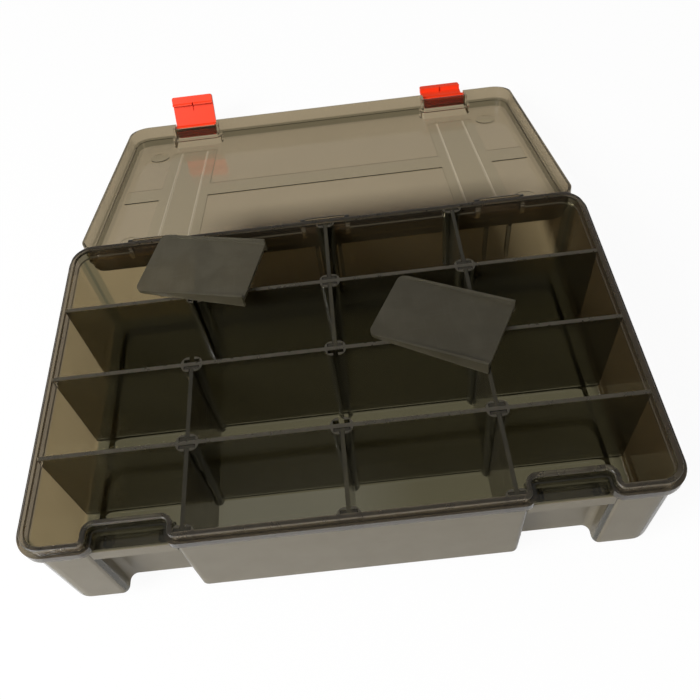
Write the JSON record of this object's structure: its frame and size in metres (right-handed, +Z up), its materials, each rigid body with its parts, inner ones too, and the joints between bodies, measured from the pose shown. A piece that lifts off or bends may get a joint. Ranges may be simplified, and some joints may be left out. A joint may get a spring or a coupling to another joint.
{
  "type": "divided lure box",
  "caption": "Clear smoke-tinted tackle box with a hinged lid, two snap latches and lift-out dividers that slide into slotted posts.",
  "frame": {"origin": "centre of the tray's underside, on the surface that the box stands on", "axes": "+Z up, +X to the right seen from the latch side, +Y towards the hinge"},
  "size_m": [0.356, 0.4693, 0.0981],
  "materials": {
    "smoke_plastic": "glossy smoke-tinted clear polypropylene",
    "latch_plastic": "satin orange-red moulded plastic"
  },
  "bodies": {
    "tray": {"tray": "smoke_plastic"},
    "lid": {"lid": "smoke_plastic"},
    "latch_left": {"latch_left": "latch_plastic"},
    "latch_right": {"latch_right": "latch_plastic"},
    "divider_a1": {"divider_a1": "smoke_plastic"},
    "divider_a2": {"divider_a2": "smoke_plastic"},
    "divider_a3": {"divider_a3": "smoke_plastic"},
    "divider_b2": {"divider_b2": "smoke_plastic"},
    "divider_b3": {"divider_b3": "smoke_plastic"},
    "divider_c1": {"divider_c1": "smoke_plastic"},
    "divider_c3": {"divider_c3": "smoke_plastic"},
    "divider_d1": {"divider_d1": "smoke_plastic"},
    "divider_d2": {"divider_d2": "smoke_plastic"},
    "divider_d3": {"divider_d3": "smoke_plastic"},
    "loose_divider_1": {"loose_divider_1": "smoke_plastic"},
    "loose_divider_2": {"loose_divider_2": "smoke_plastic"}
  },
  "joints": [
    {"name": "lid_hinge", "type": "hinge", "parent": "tray", "child": "lid", "pos_m": [0, 0.115, 0.0818], "axis": [-1, 0, 0], "range_deg": [-195.2, 0]},
    {"name": "left_latch_hinge", "type": "hinge", "parent": "lid", "child": "latch_left", "pos_m": [0, 0.32805, 0.01542], "axis": [-1, 0, 0], "range_deg": [-20, 75]},
    {"name": "right_latch_hinge", "type": "hinge", "parent": "lid", "child": "latch_right", "pos_m": [0, 0.32805, 0.01542], "axis": [-1, 0, 0], "range_deg": [-84.5, 10.5]},
    {"name": "divider_a1_lift", "type": "slide", "parent": "tray", "child": "divider_a1", "axis": [0, 0, 1], "range_m": [0, 0.09]},
    {"name": "divider_a2_lift", "type": "slide", "parent": "tray", "child": "divider_a2", "axis": [0, 0, 1], "range_m": [0, 0.09]},
    {"name": "divider_a3_lift", "type": "slide", "parent": "tray", "child": "divider_a3", "axis": [0, 0, 1], "range_m": [0, 0.09]},
    {"name": "divider_b2_lift", "type": "slide", "parent": "tray", "child": "divider_b2", "axis": [0, 0, 1], "range_m": [0, 0.09]},
    {"name": "divider_b3_lift", "type": "slide", "parent": "tray", "child": "divider_b3", "axis": [0, 0, 1], "range_m": [0, 0.09]},
    {"name": "divider_c1_lift", "type": "slide", "parent": "tray", "child": "divider_c1", "axis": [0, 0, 1], "range_m": [0, 0.09]},
    {"name": "divider_c3_lift", "type": "slide", "parent": "tray", "child": "divider_c3", "axis": [0, 0, 1], "range_m": [0, 0.09]},
    {"name": "divider_d1_lift", "type": "slide", "parent": "tray", "child": "divider_d1", "axis": [0, 0, 1], "range_m": [0, 0.09]},
    {"name": "divider_d2_lift", "type": "slide", "parent": "tray", "child": "divider_d2", "axis": [0, 0, 1], "range_m": [0, 0.09]},
    {"name": "divider_d3_lift", "type": "slide", "parent": "tray", "child": "divider_d3", "axis": [0, 0, 1], "range_m": [0, 0.09]},
    {"name": "loose_divider_1_lift", "type": "slide", "parent": "divider_a1", "child": "loose_divider_1", "axis": [0, 0, 1], "range_m": [0, 0.04]},
    {"name": "loose_divider_2_lift", "type": "slide", "parent": "divider_b3", "child": "loose_divider_2", "axis": [0, 0, 1], "range_m": [0, 0.04]}
  ],
  "couplings": [
    {"joint": "divider_c3_lift", "follows": "divider_b3_lift", "ratio": 1}
  ]
}
